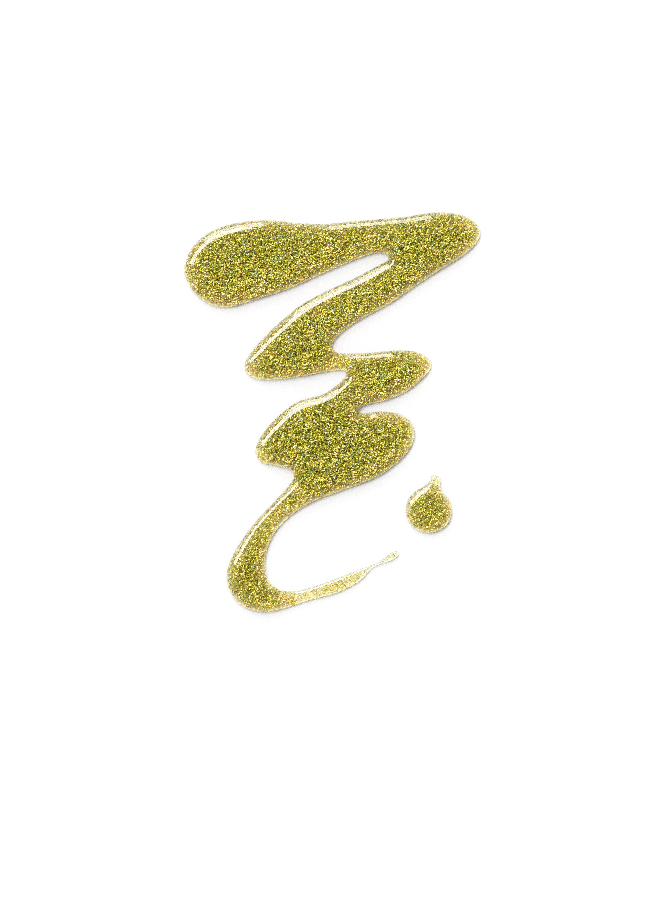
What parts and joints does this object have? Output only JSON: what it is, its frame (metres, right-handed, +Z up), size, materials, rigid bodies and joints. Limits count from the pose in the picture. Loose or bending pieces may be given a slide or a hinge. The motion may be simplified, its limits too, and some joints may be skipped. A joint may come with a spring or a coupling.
{
  "type": "poured glitter nail polish sample",
  "caption": "Poured sample of clear gel nail polish full of gold glitter: a zigzag trail that thins to a thread with a bead, and a separate round drop.",
  "frame": {"origin": "below the middle of the whole sample's box, on the flat surface that it was poured on", "axes": "+Y from the tail's end of the trail towards its head, +X towards the side of the separate drop, +Z up out of the surface"},
  "size_m": [0.0502, 0.0678, 0.0018],
  "materials": {
    "clear_lacquer": "high gloss, clear with a faint straw tint",
    "gold_glitter": "packed metallised flakes in gold and olive with a few green, orange and silver ones"
  },
  "bodies": {
    "root": {"trail_lacquer": "clear_lacquer", "trail_glitter": "gold_glitter", "drop_lacquer": "clear_lacquer", "drop_glitter": "gold_glitter"}
  },
  "joints": []
}
